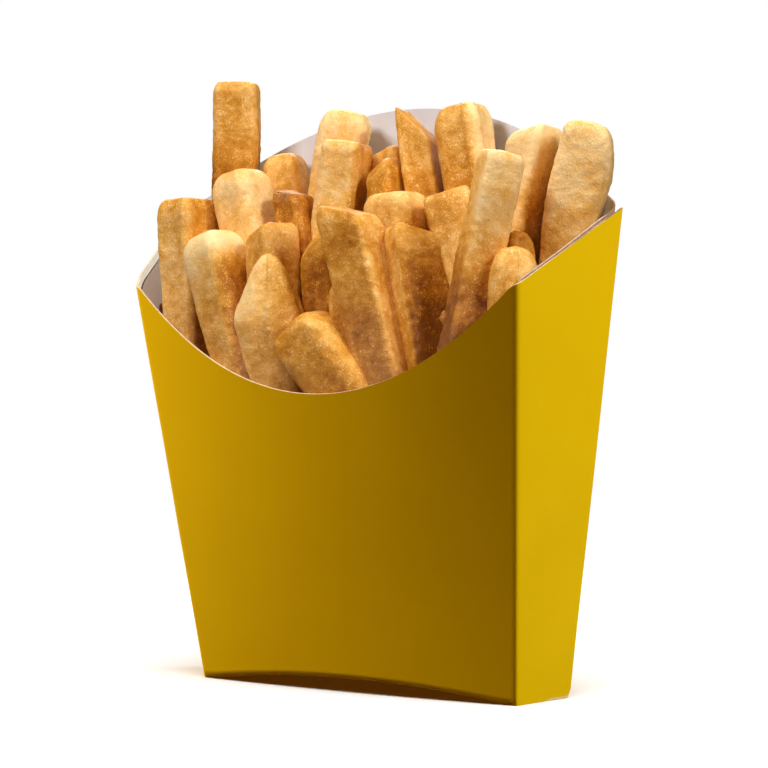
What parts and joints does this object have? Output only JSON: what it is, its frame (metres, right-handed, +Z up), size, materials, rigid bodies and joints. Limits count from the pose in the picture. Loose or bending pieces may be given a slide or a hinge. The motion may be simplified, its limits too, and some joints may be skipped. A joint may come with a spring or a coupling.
{
  "type": "french fries in a carton",
  "caption": "Thick-cut french fries standing in a yellow folded-board scoop carton with a low curved front, straight sides and a tall arched back.",
  "frame": {"origin": "on the standing surface, under the middle of the whole part", "axes": "+Z up, -Y out of the low front panel, +Y out of the tall back panel, +X to the right seen from the front"},
  "size_m": [0.1296, 0.0493, 0.1531],
  "materials": {
    "board": "coated paperboard, satin yellow outside, off-white inside and at the cut edges",
    "fries": "golden fried potato crust, slightly glossy, darker on the edges"
  },
  "bodies": {
    "root": {"carton": "board", "fries": "fries"}
  },
  "joints": []
}
